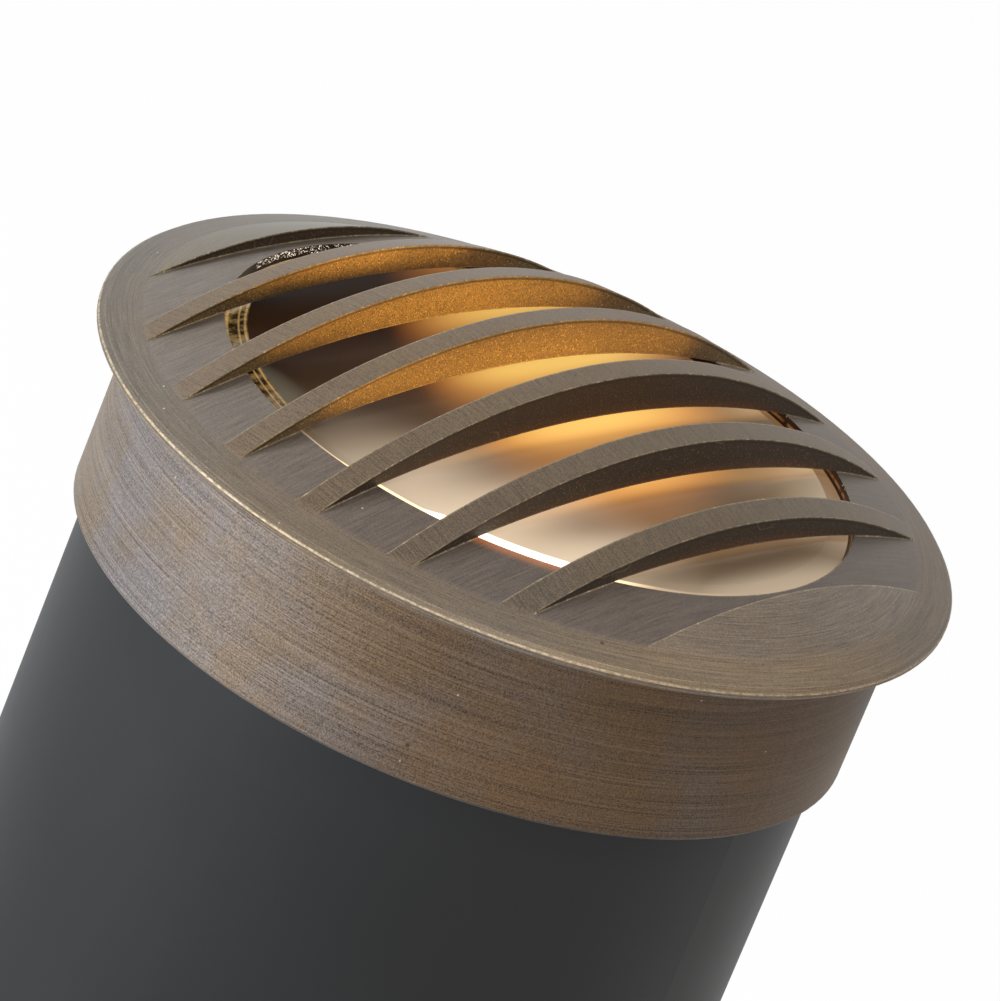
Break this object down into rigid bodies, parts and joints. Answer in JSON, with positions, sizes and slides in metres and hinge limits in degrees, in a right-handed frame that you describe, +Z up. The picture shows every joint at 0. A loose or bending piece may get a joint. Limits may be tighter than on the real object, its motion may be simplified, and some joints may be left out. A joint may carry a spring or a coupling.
{
  "type": "in-ground well light",
  "caption": "Round in-ground well light with a domed brass louvre cap, frosted lens, plain plastic sleeve and an aimable reflector lamp inside.",
  "frame": {"origin": "centre of the sleeve's lower rim, in the plane that it stands on", "axes": "+Z up along the sleeve's axis, +Y along the louvre fins, +X across them"},
  "size_m": [0.1024, 0.1024, 0.1841],
  "materials": {
    "cap_brass": "dark antique bronze patina, fine brush marks, worn edges",
    "frosted_glass": "frosted, clear polished bevel",
    "seal_rubber": "matte",
    "stainless": "fine brushed",
    "sleeve_plastic": "smooth matte black",
    "carrier_plastic": "moulded matte black",
    "washer_plastic": "natural nylon",
    "lamp_aluminium": "die cast, satin",
    "optic_glass": "clear polished",
    "board_white": "white solder mask",
    "chip_yellow": "phosphor",
    "ceramic": "steatite, satin",
    "lead_silicone": "silicone jacket",
    "connector_plastic": "moulded blue",
    "gland_plastic": "moulded nylon"
  },
  "bodies": {
    "sleeve": {"sleeve": "sleeve_plastic", "lamp_hanger": "carrier_plastic", "swivel_circlip": "stainless", "bulkhead": "carrier_plastic", "gland_body": "gland_plastic", "gland_washer": "seal_rubber", "gland_locknut": "gland_plastic", "gland_seal": "seal_rubber", "gland_nut": "gland_plastic"},
    "cap_seal": {"cap_oring": "seal_rubber"},
    "cap": {"louvre_cap": "cap_brass", "lens_gasket": "seal_rubber", "glass_lens": "frosted_glass", "lens_cushion": "seal_rubber", "lens_ring": "stainless", "lens_screws": "stainless", "rim_gasket": "seal_rubber"},
    "carrier": {"swivel_ring": "stainless", "drag_washer": "washer_plastic"},
    "lamp": {"gimbal_ring": "stainless", "tilt_screws": "stainless", "tilt_washers": "washer_plastic", "lamp_clip": "stainless", "lamp_heatsink": "lamp_aluminium", "lamp_optic": "optic_glass", "led_board": "board_white", "led_chip": "chip_yellow", "lamp_base": "ceramic", "lamp_pins": "stainless", "lampholder": "ceramic", "lamp_leads": "lead_silicone", "wire_connectors": "connector_plastic"}
  },
  "joints": [
    {"name": "cap_turn", "type": "hinge", "parent": "sleeve", "child": "cap_seal", "pos_m": [0, 0, 0.15535], "axis": [0, 0, 1], "continuous": true},
    {"name": "cap_lift", "type": "slide", "parent": "cap_seal", "child": "cap", "axis": [0, 0, 1], "range_m": [0, 0.04]},
    {"name": "lamp_swivel", "type": "hinge", "parent": "sleeve", "child": "carrier", "pos_m": [0, 0, 0.14345], "axis": [0, 0, 1], "range_deg": [-170, 170]},
    {"name": "lamp_tilt", "type": "hinge", "parent": "carrier", "child": "lamp", "pos_m": [0, 0, 0.14345], "axis": [1, 0, 0], "range_deg": [-15, 15]}
  ]
}
